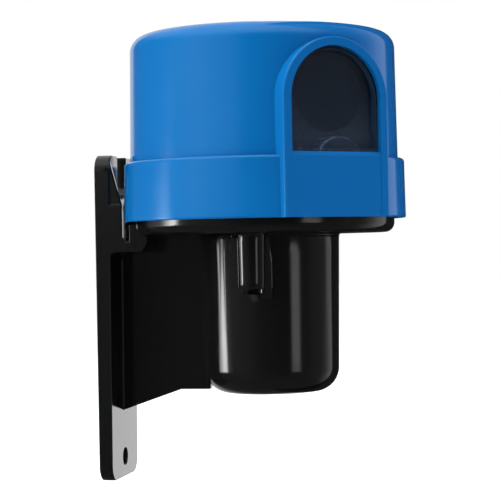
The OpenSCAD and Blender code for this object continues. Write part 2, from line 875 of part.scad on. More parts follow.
// Relay hung under the board into the barrel, its leads cut flush on top.
module relay() {
    color("steelblue")
        on_axis() {
            translate([barrel_shift, -relay_shift, relay_top_z - relay_size[2] / 2])
                cube(relay_size, center = true);
            translate([barrel_shift, -relay_shift, relay_top_z - relay_foot / 2])
                cube([relay_size[0] + 2 * relay_lip, relay_size[1] + 2 * relay_lip, relay_foot],
                    center = true);
            for (place = relay_leads)
                translate(place)
                    post(lead_r, relay_top_z - relay_foot / 2, board_top_z);
        }
}

// Film capacitor in its box.
module film_capacitor() {
    color("gold")
        on_axis() {
            translate([film_at[0], film_at[1], board_top_z + film_size[2] / 2])
                cube(film_size, center = true);
            leads(film_leads, board_top_z + film_size[2] / 2);
        }
}

// Upright can with a rolled groove, shared by both electrolytic capacitors.
module can(at, size) {
    translate([at[0], at[1], board_top_z])
        difference() {
            cylinder(r = size[0], h = size[1]);
            translate([0, 0, can_groove_up])
                rotate_extrude()
                    translate([size[0] + can_groove / 2, 0])
                        circle(r = can_groove);
        }
}

// Smoothing capacitor.
module smoothing_capacitor() {
    color("navy")
        on_axis() {
            can(smooth_at, smooth_size);
            leads(smooth_leads, board_top_z + past);
        }
}

// Timing capacitor.
module timing_capacitor() {
    color("black")
        on_axis() {
            can(timing_at, timing_size);
            leads(timing_leads, board_top_z + past);
        }
}

// Varistor disc standing on its leads.
module varistor() {
    color("blue")
        on_axis() {
            translate([varistor_at[0] - varistor_size[1] / 2, varistor_at[1],
                board_top_z + varistor_leg + varistor_size[0]])
                rotate([0, right_angle, 0])
                    cylinder(r = varistor_size[0], h = varistor_size[1]);
            leads(varistor_leads, board_top_z + varistor_leg + varistor_size[0]);
        }
}

// Upright fuse.
module fuse() {
    color("brown")
        on_axis() {
            translate([fuse_at[0], fuse_at[1], 0])
                post(fuse_size[0], board_top_z, board_top_z + fuse_size[1]);
            leads(fuse_leads, board_top_z + fuse_size[1] / 2);
        }
}

// Axial body lying along Y with both leads bent down into the board.
module axial(at, radius, length, height, pitch) {
    translate([at[0], at[1], height])
        rotate([right_angle, 0, 0]) {
            cylinder(r = radius, h = length, center = true);
            cylinder(r = lead_r, h = pitch, center = true);
        }
    for (place = pair_y(at, pitch))
        translate([place[0], place[1], height])
            sphere(r = lead_r);
    leads(pair_y(at, pitch), height);
}

// Four rectifier diodes.
module rectifier_diodes() {
    color("black")
        on_axis()
            for (at = diodes_at)
                axial(at, diode_size[0], diode_size[1], diode_z, diode_pitch);
}

// Zener diode in its glass.
module zener_diode() {
    color("orange")
        on_axis()
            axial(zener_at, diode_size[0], diode_size[1], diode_z, diode_pitch);
}

// Two resistors with swollen ends, lying behind the sensor.
module resistors() {
    color("tan")
        on_axis()
            rotate([0, 0, -window_turn])
                for (far = resistor_rows) {
                    axial([far, 0], resistor_size[0], resistor_size[1], resistor_z, resistor_pitch);
                    for (side = both)
                        translate([far, side * (resistor_size[1] - resistor_end[1]) / 2, resistor_z])
                            rotate([right_angle, 0, 0])
                                cylinder(r = resistor_end_r, h = resistor_end[1], center = true);
                }
}

// Transistor with a flat front, on three leads.
module transistor() {
    color("black")
        on_axis() {
            translate([transistor_at[0], transistor_at[1], board_top_z + transistor_leg])
                difference() {
                    cylinder(r = transistor_size[0], h = transistor_size[1]);
                    translate([transistor_size[2], -transistor_size[0], -past])
                        cube([transistor_size[0], 2 * transistor_size[0], transistor_size[1] + 2 * past]);
                }
            leads(transistor_leads, board_top_z + transistor_leg + past);
        }
}

// Light-dependent resistor facing the window, its leads bent down behind the holder.
module photoresistor() {
    color("sienna")
        on_axis() {
            facing(sensor_back, sensor_front)
                translate([sensor_side, sensor_z])
                    circle(r = sensor_r);
            for (side = both)
                facing(sensor_lead_d, sensor_back + sensor_t / 2)
                    translate([sensor_side + side * sensor_pitch / 2, sensor_z])
                        circle(r = sensor_tail_r);
            leads(sensor_leads, sensor_z + lead_r);
        }
}

// Holder that keeps the light sensor upright behind the sill.
module sensor_holder() {
    color("dimgray")
        on_axis()
            difference() {
                facing(holder_rear, holder_front)
                    translate([sensor_side, 0])
                        arch(holder_half, board_top_z, sensor_z);
                facing(sensor_back, holder_front + past)
                    translate([sensor_side, sensor_z])
                        circle(r = sensor_r);
                for (side = both)
                    facing(holder_rear - past, sensor_back + past)
                        translate([sensor_side + side * sensor_pitch / 2, sensor_z])
                            circle(r = sensor_tail_r + lead_play);
            }
}

// Terminal housing with a cage and a screw well for each pole.
module terminal_block() {
    color("green")
        on_axis()
            difference() {
                translate([block_at[0], block_at[1], board_top_z + block_size[2] / 2])
                    cube(block_size, center = true);
                for (place = block_leads) {
                    translate([place[0] - clamp_size[0] / 2, place[1] - clamp_size[1] / 2, clamp_z])
                        cube([clamp_size[0] + past, clamp_size[1], clamp_size[2]]);
                    translate(place)
                        post(screw_well_r, clamp_top_z - past, block_top_z + past);
                    translate(place)
                        post(lead_r + lead_play, board_top_z - past, clamp_z + past);
                }
            }
}

// Brass cages with a wire hole and a soldered leg.
module terminal_clamps() {
    color("goldenrod")
        on_axis()
            for (place = block_leads) {
                difference() {
                    translate([place[0], place[1], clamp_z + clamp_size[2] / 2])
                        cube(clamp_size, center = true);
                    translate([place[0] - clamp_size[0], place[1], clamp_z + clamp_size[2] / 2])
                        rotate([0, right_angle, 0])
                            cylinder(r = clamp_hole_r, h = 2 * clamp_size[0]);
                    translate(place)
                        post(clamp_screw_r + thread_play, clamp_z + clamp_size[2] / 2, clamp_top_z + past);
                }
                translate(place)
                    post(lead_r, pad_z, clamp_z + lead_r);
            }
}

// Slotted screws that close the cages.
module terminal_screws() {
    color("silver")
        on_axis()
            for (place = block_leads)
                translate(place)
                    difference() {
                        union() {
                            post(clamp_head_r, clamp_top_z, clamp_top_z + clamp_head_h);
                            post(clamp_screw_r, clamp_top_z - clamp_size[2] / 2 + clamp_hole_r,
                                clamp_top_z + clamp_head_h / 2);
                        }
                        translate([-clamp_head_r - past, -cross_w / 2,
                            clamp_top_z + clamp_head_h - cross_deep])
                            cube([2 * clamp_head_r + 2 * past, cross_w, cross_deep + past]);
                    }
}

cap();
window_pane();
base();
seal_ring();
cap_screws();
cable_grommet();
circuit_board();
board_screws();
relay();
film_capacitor();
smoothing_capacitor();
timing_capacitor();
varistor();
fuse();
rectifier_diodes();
zener_diode();
resistors();
transistor();
photoresistor();
sensor_holder();
terminal_block();
terminal_clamps();
terminal_screws();
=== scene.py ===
import logging
import math
from dataclasses import dataclass
from enum import Enum

import bpy
from mathutils import Matrix, Vector

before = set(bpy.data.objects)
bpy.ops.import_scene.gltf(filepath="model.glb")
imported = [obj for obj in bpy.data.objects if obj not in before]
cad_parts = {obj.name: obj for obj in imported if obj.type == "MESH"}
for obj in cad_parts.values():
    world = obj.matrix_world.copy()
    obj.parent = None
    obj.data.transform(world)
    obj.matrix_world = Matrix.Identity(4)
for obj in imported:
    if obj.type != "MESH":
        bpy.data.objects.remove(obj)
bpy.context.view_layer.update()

log = logging.getLogger("photocell_switch")

Colour = tuple[float, float, float]
Way = tuple[float, float, float]
Span = tuple[float, float]
Row = tuple[tuple[float, float], ...]
Socket = bpy.types.NodeSocket

MM = 0.001
WHITE = (1.0, 1.0, 1.0)

# Low and high side of a noise, between which nearly all of it lies
NOISE_LOW = 0.3
NOISE_HIGH = 0.7

# Turn of the window's face away from straight out of the wall
WINDOW_TURN = math.radians(49.0)

# Place of the cap's axis out from the wall, and along the window's face
AXIS = 39.5 * MM
AXIS_BESIDE = AXIS * math.sin(WINDOW_TURN)


class Grain(Enum):
    """How fine the skin of a moulding is, as noise waves per metre."""

    GLOSS = 900.0
    SATIN = 1800.0
    MATT = 3200.0


class Clouds(Enum):
    """How wide the stains, dust and handling marks on a surface lie, as noise waves per metre."""

    FLOW = 45.0
    TINT = 60.0
    DUST = 150.0
    HANDLING = 160.0
    SCUFF = 200.0
    RESIN = 250.0
    STAIN = 300.0
    TARNISH = 400.0
    CUT = 500.0
    RUBBING = 900.0
    TURNING = 1500.0


class Along(Enum):
    """Directions along which bodies lie and surfaces are measured."""

    UP = (0.0, 0.0, 1.0)
    ACROSS = (0.0, 1.0, 0.0)
    BESIDE_WINDOW = (math.sin(WINDOW_TURN), math.cos(WINDOW_TURN), 0.0)
    TO_WINDOW = (math.cos(WINDOW_TURN), -math.sin(WINDOW_TURN), 0.0)


class NodeBench:
    """Lays out the shader nodes of one material or world and joins them."""

    def __init__(self, tree: bpy.types.NodeTree, coordinates: str = "Object") -> None:
        """Starts with an empty tree.

        Args:
            tree: node tree to fill.
            coordinates: output of the texture coordinate node that places the patterns.
        """
        self.tree = tree
        self.tree.nodes.clear()
        self.place = self.tree.nodes.new("ShaderNodeTexCoord").outputs[coordinates]

    def add(self, kind: str, **sockets: object) -> bpy.types.Node:
        """Adds a node and sets or links its inputs.

        Args:
            kind: type name of the node.
            sockets: inputs by name, each a value or an output socket to link.

        Returns:
            The new node.
        """
        node = self.tree.nodes.new(kind)
        for key, value in sockets.items():
            self.feed(node.inputs[key.replace("_", " ")], value)
        return node

    def feed(self, socket: Socket, value: object) -> None:
        """Links a socket to an output or sets its own value.

        Args:
            socket: input to feed.
            value: output socket to link, or a value.
        """
        if isinstance(value, bpy.types.NodeSocket):
            self.tree.links.new(value, socket)
        else:
            socket.default_value = value

    def math(self, operation: str, first: object, second: object = 0.0) -> Socket:
        """Joins two numbers.

        Args:
            operation: name of the operation.
            first: value or socket.
            second: value or socket.

        Returns:
            The result.
        """
        node = self.tree.nodes.new("ShaderNodeMath")
        node.operation = operation
        self.feed(node.inputs[0], first)
        self.feed(node.inputs[1], second)
        return node.outputs["Value"]

    def part(self, vector: Socket, way: Way) -> Socket:
        """Part of a vector along a direction.

        Args:
            vector: vector to measure.
            way: direction, of length 1.

        Returns:
            The part.
        """
        node = self.tree.nodes.new("ShaderNodeVectorMath")
        node.operation = "DOT_PRODUCT"
        self.feed(node.inputs[0], vector)
        self.feed(node.inputs[1], way)
        return node.outputs["Value"]

    def dot(self, way: Way) -> Socket:
        """Distance of the shaded point along a direction."""
        return self.part(self.place, way)

    def facing(self, way: Way) -> Socket:
        """How square the surface stands to a direction, from 0 to 1."""
        normal = self.tree.nodes.new("ShaderNodeNewGeometry").outputs["True Normal"]
        return self.math("ABSOLUTE", self.part(normal, way))

    def away(self, across: float, height: float) -> Socket:
        """Distance of the shaded point from a middle, as seen square to the window.

        Args:
            across: place of the middle along the window.
            height: height of the middle.

        Returns:
            The distance.
        """
        aside = self.math("SUBTRACT", self.dot(Along.BESIDE_WINDOW.value), across)
        above = self.math("SUBTRACT", self.dot(Along.UP.value), height)
        square = self.math("ADD", self.math("MULTIPLY", aside, aside), self.math("MULTIPLY", above, above))
        return self.math("SQRT", square)

    def noise(self, waves: Clouds | Grain, detail: float = 3.0, stretch: Way = (1.0, 1.0, 1.0)) -> Socket:
        """Noise over the object's own coordinates.

        Args:
            waves: how wide the noise lies.
            detail: octaves of finer noise.
            stretch: how much closer the waves lie along each axis.

        Returns:
            The noise.
        """
        drawn = self.add("ShaderNodeMapping", Vector=self.place, Scale=stretch)
        spot = drawn.outputs["Vector"]
        node = self.add("ShaderNodeTexNoise", Vector=spot, Scale=waves.value, Detail=detail)
        return node.outputs["Fac"]

    def span(
        self, value: Socket, low: float, high: float, start: float = NOISE_LOW, end: float = NOISE_HIGH
    ) -> Socket:
        """Maps a value's range from start to end onto the range from low to high."""
        ends = {"From_Min": start, "From_Max": end, "To_Min": low, "To_Max": high}
        return self.add("ShaderNodeMapRange", Value=value, **ends).outputs["Result"]

    def ramp(self, value: Socket, stops: list[tuple[float, Colour]], hard: bool = False) -> Socket:
        """Runs a value through a row of colours.

        Args:
            value: value from 0 to 1.
            stops: place and colour of each stop, in order.
            hard: steps from colour to colour where true.

        Returns:
            The colour.
        """
        node = self.add("ShaderNodeValToRGB", Fac=value)
        row = node.color_ramp
        row.interpolation = "CONSTANT" if hard else "LINEAR"
        while len(row.elements) < len(stops):
            row.elements.new(1.0)
        for element, (place, colour) in zip(row.elements, stops):
            element.position = place
            element.color = (*colour, 1.0)
        return node.outputs["Color"]

    def tint(self, value: Socket, low: Colour, high: Colour) -> Socket:
        """Runs the middle of a noise between two colours."""
        return self.ramp(value, [(NOISE_LOW, low), (NOISE_HIGH, high)])

    def cloud(self, value: Socket, colour: Colour, low: float, high: float) -> Socket:
        """Runs the middle of a noise between two shades of one colour."""
        return self.tint(value, shade(colour, low), shade(colour, high))

    def relief(self, height: Socket, depth: float, strength: float) -> Socket:
        """Normal bent by a height field of a given depth in metres, as much as its strength says."""
        node = self.add("ShaderNodeBump", Height=height, Distance=depth, Strength=strength)
        return node.outputs["Normal"]

    def surface(self, **sockets: object) -> Socket:
        """Surface shader with the given inputs."""
        return self.add("ShaderNodeBsdfPrincipled", **sockets).outputs["BSDF"]

    def bare_metal(self, low: Colour, high: Colour, gloss: Span) -> Socket:
        """Bright metal with faint stains.

        Args:
            low: colour of the stains.
            high: colour between them.
            gloss: range of roughness.

        Returns:
            The shader.
        """
        stains = self.noise(Clouds.TARNISH)
        rubbing = self.noise(Clouds.RUBBING)
        return self.surface(
            Base_Color=self.tint(stains, low, high), Metallic=1.0, Roughness=self.span(rubbing, *gloss)
        )

    def mix(self, share: Socket, first: Socket, second: Socket) -> Socket:
        """Blends two shaders.

        Args:
            share: share of the second shader.
            first: shader where the share is 0.
            second: shader where the share is 1.

        Returns:
            The blended shader.
        """
        node = self.tree.nodes.new("ShaderNodeMixShader")
        for socket, source in zip(node.inputs, (share, first, second)):
            self.tree.links.new(source, socket)
        return node.outputs["Shader"]

    def close(self, shader: Socket, output: str = "ShaderNodeOutputMaterial") -> None:
        """Joins the shader to the output."""
        self.tree.links.new(shader, self.tree.nodes.new(output).inputs["Surface"])


def shade(colour: Colour, factor: float) -> Colour:
    """The same colour, lighter or darker by a factor."""
    return tuple(min(1.0, part * factor) for part in colour)


def node_material(name: str) -> tuple[bpy.types.Material, NodeBench]:
    """Starts a node material.

    Args:
        name: material name.

    Returns:
        The material and the bench of its nodes.
    """
    material = bpy.data.materials.new(name)
    material.use_nodes = True
    return material, NodeBench(material.node_tree)


@dataclass(frozen=True)
class Finish:
    """A finish that can be laid on a piece.

    Attributes:
        name: material name.
        colour: linear colour.
    """

    name: str
    colour: Colour

    def build(self) -> bpy.types.Material:
        """Makes the node material.

        Returns:
            The material.
        """
        material, bench = node_material(self.name)
        bench.close(self.shader(bench))
        return material

    def shader(self, bench: NodeBench) -> Socket:
        """Lays out the finish's own shader."""
        raise NotImplementedError


@dataclass(frozen=True)
class MouldedPlastic(Finish):
    """Injection-moulded plastic with flow clouding, handling haze and a faint skin.

    Attributes:
        gloss: range of roughness over the surface.
        grain: fineness of the skin.
        cloud: how far the colour varies, as a share.
        specular: specular level of the shader.
        skin: strength of the skin's bump.
        skin_depth: depth of that bump.
        glint: colour of the gloss.
    """

    gloss: Span = (0.2, 0.28)
    grain: Grain = Grain.SATIN
    cloud: float = 0.06
    specular: float = 0.5
    skin: float = 0.06
    skin_depth: float = 0.02 * MM
    glint: Colour = WHITE

    def coat(self, bench: NodeBench) -> Socket:
        """Colour of the surface."""
        flow = bench.noise(Clouds.FLOW, 4.0, (1.0, 1.0, 0.45))
        return bench.cloud(flow, self.colour, 1.0 - self.cloud, 1.0 + self.cloud)

    def shader(self, bench: NodeBench) -> Socket:
        """Lays out the plastic.

        Args:
            bench: bench of the material's nodes.

        Returns:
            The shader.
        """
        handling = bench.noise(Clouds.HANDLING, 6.0)
        skin = bench.noise(self.grain, 2.0)
        return bench.surface(
            Base_Color=self.coat(bench),
            Roughness=bench.span(handling, *self.gloss),
            Specular_IOR_Level=self.specular,
            Specular_Tint=(*self.glint, 1.0),
            Normal=bench.relief(skin, self.skin_depth, self.skin),
        )


@dataclass(frozen=True)
class SmokedPane(Finish):
    """Smoke-tinted clear plastic with a thin haze, clearer in its round lens field, and painted shade on its
    edges.

    Attributes:
        across: place of the lens field's middle along the window.
        height: height of that middle.
        lens: radius of the lens field.
        lens_edge: half of the width over which the lens field ends.
        sill: height of the sill, toward which the pane round the lens field is hazier.
        film: colour of the haze.
        haze: share of the haze at best and at the sill.
        gloss: range of roughness over the clear plastic.
        bend: index of refraction.
        painted_shade_low: darkest colour of the painted shade on the edges.
        painted_shade_high: lightest colour of that painted shade.
        painted_shade_gloss: range of roughness over that painted shade.
        square_on: how square to the window a surface stands where it turns from the painted shade of the
            edges to the face.
    """

    across: float = 0.0
    height: float = 0.0
    lens: float = 9.0 * MM
    lens_edge: float = 0.3 * MM
    sill: float = 0.0
    film: Colour = (0.36, 0.5, 0.9)
    haze: Span = (0.018, 0.046)
    gloss: Span = (0.03, 0.07)
    bend: float = 1.49
    painted_shade_low: Colour = (0.005, 0.017, 0.05)
    painted_shade_high: Colour = (0.008, 0.024, 0.065)
    painted_shade_gloss: Span = (0.45, 0.6)
    square_on: Span = (0.75, 0.95)

    def haze_share(self, bench: NodeBench) -> Socket:
        """Share of the haze over the pane.

        Args:
            bench: bench of the material's nodes.

        Returns:
            The share.
        """
        away = bench.away(self.across, self.height)
        past = bench.span(away, 0.0, 1.0, self.lens - self.lens_edge, self.lens + self.lens_edge)
        low = bench.span(bench.dot(Along.UP.value), 1.0, 0.0, self.sill, self.height)
        return bench.span(bench.math("MULTIPLY", past, low), *self.haze, 0.0, 1.0)

    def shader(self, bench: NodeBench) -> Socket:
        """Lays out the clear plastic, its haze and the painted shade on its edges.

        Args:
            bench: bench of the material's nodes.

        Returns:
            The shader.
        """
        clear = bench.surface(
            Base_Color=bench.cloud(bench.noise(Clouds.TINT), self.colour, 0.92, 1.08),
            Roughness=bench.span(bench.noise(Clouds.SCUFF, 4.0), *self.gloss),
            Transmission_Weight=1.0,
            IOR=self.bend,
        )
        dust = bench.cloud(bench.noise(Clouds.DUST), self.film, 0.9, 1.1)
        film = bench.surface(Base_Color=dust, Roughness=0.9, Specular_IOR_Level=0.0)
        face = bench.mix(self.haze_share(bench), clear, film)
        # Painted shade: dark opaque plastic on the faces that turn away from the window, where the pane's
        # edges lie in shade.
        dark = bench.surface(
            Base_Color=bench.tint(bench.noise(Clouds.STAIN), self.painted_shade_low, self.painted_shade_high),
            Roughness=bench.span(bench.noise(Clouds.CUT), *self.painted_shade_gloss),
        )
        edge = bench.span(bench.facing(Along.TO_WINDOW.value), 1.0, 0.0, *self.square_on)
        return bench.mix(edge, face, dark)


@dataclass(frozen=True)
class PlatedMetal(Finish):
    """Plated or plain metal with fine turning marks.

    Attributes:
        gloss: range of roughness over the surface.
        mark_depth: depth of the turning marks.
        marks: how much of those marks shows.
    """

    gloss: Span = (0.25, 0.42)
    mark_depth: float = 0.01 * MM
    marks: float = 0.15

    def shader(self, bench: NodeBench) -> Socket:
        """Lays out the metal.

        Args:
            bench: bench of the material's nodes.

        Returns:
            The shader.
        """
        turning = bench.noise(Clouds.TURNING, 4.0, (1.0, 1.0, 3.0))
        return bench.surface(
            Base_Color=bench.cloud(bench.noise(Clouds.STAIN), self.colour, 0.85, 1.1),
            Metallic=1.0,
            Roughness=bench.span(turning, *self.gloss),
            Normal=bench.relief(turning, self.mark_depth, self.marks),
        )


@dataclass(frozen=True)
class Laminate(Finish):
    """Bare board laminate with a fine cloth weave under its resin.

    Attributes:
        gloss: range of roughness over the resin.
        weave: threads of the cloth, as waves per metre.
        unevenness: how far the threads stray.
        weave_depth: depth of the weave.
        weave_shows: how much of that depth shows.
    """

    gloss: Span = (0.4, 0.55)
    weave: float = 600.0
    unevenness: float = 1.5
    weave_depth: float = 0.02 * MM
    weave_shows: float = 0.2

    def shader(self, bench: NodeBench) -> Socket:
        """Lays out the laminate.

        Args:
            bench: bench of the material's nodes.

        Returns:
            The shader.
        """
        threads = {"Scale": self.weave, "Distortion": self.unevenness}
        warp = bench.add("ShaderNodeTexWave", Vector=bench.place, **threads).outputs["Fac"]
        return bench.surface(
            Base_Color=bench.cloud(warp, self.colour, 0.88, 1.08),
            Roughness=bench.span(bench.noise(Clouds.RESIN), *self.gloss),
            Normal=bench.relief(warp, self.weave_depth, self.weave_shows),
        )


@dataclass(frozen=True)
class LeadedBody(MouldedPlastic):
    """Body of a component with bright leads at its ends.

    Attributes:
        along: direction in which the body lies.
        middle: place of the body's middle along that direction.
        half: half of the body's length.
        bands: start and colour of each band along the body, from 0 to 1, after the body's own colour.
        slack: how far past the body's ends the leads start.
        lead_low: darkest colour of the leads.
        lead_high: lightest colour of the leads.
        lead_gloss: range of roughness over the leads.
    """

    along: Along = Along.UP
    middle: float = 0.0
    half: float = 1.0
    bands: tuple[tuple[float, Colour], ...] = ()
    slack: float = 0.03 * MM
    lead_low: Colour = (0.5, 0.5, 0.48)
    lead_high: Colour = (0.62, 0.61, 0.58)
    lead_gloss: Span = (0.25, 0.4)

    def reach(self, bench: NodeBench) -> Socket:
        """Place along the body, 0 at one end and 1 at the other."""
        ends = (self.middle - self.half, self.middle + self.half)
        return bench.span(bench.dot(self.along.value), 0.0, 1.0, *ends)

    def coat(self, bench: NodeBench) -> Socket:
        """Colour of the body with its bands.

        Args:
            bench: bench of the material's nodes.

        Returns:
            The colour.
        """
        if not self.bands:
            return super().coat(bench)
        return bench.ramp(self.reach(bench), [(0.0, self.colour), *self.bands], hard=True)

    def shader(self, bench: NodeBench) -> Socket:
        """Lays out the body and the leads past its ends.

        Args:
            bench: bench of the material's nodes.

        Returns:
            The shader.
        """
        off = bench.math("ABSOLUTE", bench.math("SUBTRACT", bench.dot(self.along.value), self.middle))
        past = bench.math("GREATER_THAN", off, self.half + self.slack)
        tin = bench.bare_metal(self.lead_low, self.lead_high, self.lead_gloss)
        return bench.mix(past, super().shader(bench), tin)


@dataclass(frozen=True)
class SensorFace(LeadedBody):
    """Ceramic light sensor with a folded track on its face.

    Attributes:
        track: colour of the light-sensitive track.
        folds: fineness of the track's folds.
        turn: where the folds pass from ceramic to track.
    """

    track: Colour = (0.035, 0.02, 0.016)
    folds: float = 220.0
    turn: Span = (0.45, 0.55)

    def coat(self, bench: NodeBench) -> Socket:
        """Colour of the ceramic with the track's folds across it.

        Args:
            bench: bench of the material's nodes.

        Returns:
            The colour.
        """
        wave = bench.add("ShaderNodeTexWave", Vector=bench.place, Scale=self.folds, Distortion=0.0)
        wave.bands_direction = "Z"
        ceramic, track = self.turn
        stops = [(0.0, self.colour), (ceramic, self.colour), (track, self.track)]
        return bench.ramp(wave.outputs["Fac"], stops)


@dataclass(frozen=True)
class HighlightedHolder(MouldedPlastic):
    """Dark moulding with a bright metal band painted round its arched front, as a painted highlight.

    Attributes:
        across: place of the arch's middle along the window.
        height: height of that middle.
        highlight_radius: radius at which the painted highlight starts.
        highlight_low: darkest colour of the painted highlight.
        highlight_high: lightest colour of the painted highlight.
        highlight_gloss: range of roughness over the painted highlight.
    """

    across: float = 0.0
    height: float = 0.0
    highlight_radius: float = 1.0
    highlight_low: Colour = (0.82, 0.82, 0.8)
    highlight_high: Colour = (0.92, 0.92, 0.9)
    highlight_gloss: Span = (0.2, 0.34)

    def shader(self, bench: NodeBench) -> Socket:
        """Lays out the moulding and its painted highlight.

        Args:
            bench: bench of the material's nodes.

        Returns:
            The shader.
        """
        # Painted highlight: a bright metal band on the holder's front, past the given radius from its middle.
        past = bench.math("GREATER_THAN", bench.away(self.across, self.height), self.highlight_radius)
        bright = bench.bare_metal(self.highlight_low, self.highlight_high, self.highlight_gloss)
        return bench.mix(past, super().shader(bench), bright)


SCREW_STEEL = PlatedMetal("screw_steel", (0.55, 0.54, 0.5))
SILVER = (0.5, 0.5, 0.5)
INK = (0.01, 0.01, 0.01)


@dataclass
class SubAssembly:
    """A group of CAD nodes that are dressed together.

    Attributes:
        edge: radius of the broken edges.
        join: distance within which a mesh's corners are one.
        flat: angle under which neighbouring faces are one flat, in degrees.
        sharp: angle over which an edge is broken, in degrees.
        steps: flats round a broken edge.
    """

    edge: float = 0.25 * MM
    join: float = 0.002 * MM
    flat: float = 0.4
    sharp: float = 40.0
    steps: int = 3

    def finishes(self) -> dict[str, Finish]:
        """Finish of each node."""
        raise NotImplementedError

    def edge_of(self, node: str) -> float:
        """Radius of a node's broken edges."""
        return self.edge

    def build(self, made: dict[str, bpy.types.Material]) -> None:
        """Gives each node its material and broken edges.

        Args:
            made: materials that are already made, by name.
        """
        for node, finish in self.finishes().items():
            if finish.name not in made:
                made[finish.name] = finish.build()
            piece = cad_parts[node]
            piece.data.materials.clear()
            piece.data.materials.append(made[finish.name])
            if self.edge_of(node):
                self.break_edges(piece, self.edge_of(node))
            log.info("%s: %s in %s", type(self).__name__, node, finish.name)

    def break_edges(self, piece: bpy.types.Object, radius: float) -> None:
        """Rounds the sharp edges a little, as a mould or a press leaves them.

        Args:
            piece: object to work on.
            radius: radius of the rounding.
        """
        weld = piece.modifiers.new("join", "WELD")
        weld.merge_threshold = self.join
        flat = piece.modifiers.new("flats", "DECIMATE")
        flat.decimate_type = "DISSOLVE"
        flat.angle_limit = math.radians(self.flat)
        bevel = piece.modifiers.new("edges", "BEVEL")
        bevel.width = radius
        bevel.segments = self.steps
        bevel.limit_method = "ANGLE"
        bevel.angle_limit = math.radians(self.sharp)
        bevel.use_clamp_overlap = False
        bevel.harden_normals = True


@dataclass
class Cap(SubAssembly):
    """Blue cap, whose solid has its own rounded edges, with its smoked window.

    Attributes:
        pane_edge: radius of the pane's edges.
        lens_up: height of the pane's lens field.
        sill: height of the window's sill.
    """

    edge: float = 0.0
    pane_edge: float = 0.06 * MM
    lens_up: float = 51.6 * MM
    sill: float = 38.0 * MM

    def finishes(self) -> dict[str, Finish]:
        """Finish of each node.

        Returns:
            The finishes by node name.
        """
        blue = MouldedPlastic(
            "blue_moulding", (0.0015, 0.092, 0.338),
            gloss=(0.1, 0.15), cloud=0.04, specular=0.52, skin=0.04, glint=(0.8, 1.0, 1.0),
        )
        smoked = SmokedPane(
            "smoked_pane", (0.5, 0.66, 0.86), across=AXIS_BESIDE, height=self.lens_up, sill=self.sill
        )
        return {"cap": blue, "window_pane": smoked}

    def edge_of(self, node: str) -> float:
        """Radius of a node's broken edges."""
        return self.pane_edge if node == "window_pane" else self.edge


@dataclass
class Base(SubAssembly):
    """Black base moulding with its seal, screws and cable grommet.

    Attributes:
        small_edge: radius of the small pieces' edges.
    """

    edge: float = 0.3 * MM
    small_edge: float = 0.1 * MM

    def finishes(self) -> dict[str, Finish]:
        """Finish of each node.

        Returns:
            The finishes by node name.
        """
        black = MouldedPlastic(
            "black_moulding", (0.0035, 0.0035, 0.0038),
            gloss=(0.08, 0.13), grain=Grain.GLOSS, cloud=0.12, skin=0.04,
        )
        rubber = MouldedPlastic(
            "black_rubber", (0.012, 0.012, 0.012),
            gloss=(0.6, 0.75), grain=Grain.MATT, cloud=0.15, specular=0.3, skin=0.3,
        )
        return {"base": black, "seal_ring": rubber, "cap_screws": SCREW_STEEL, "cable_grommet": rubber}

    def edge_of(self, node: str) -> float:
        """Radius of a node's broken edges."""
        return self.edge if node == "base" else self.small_edge


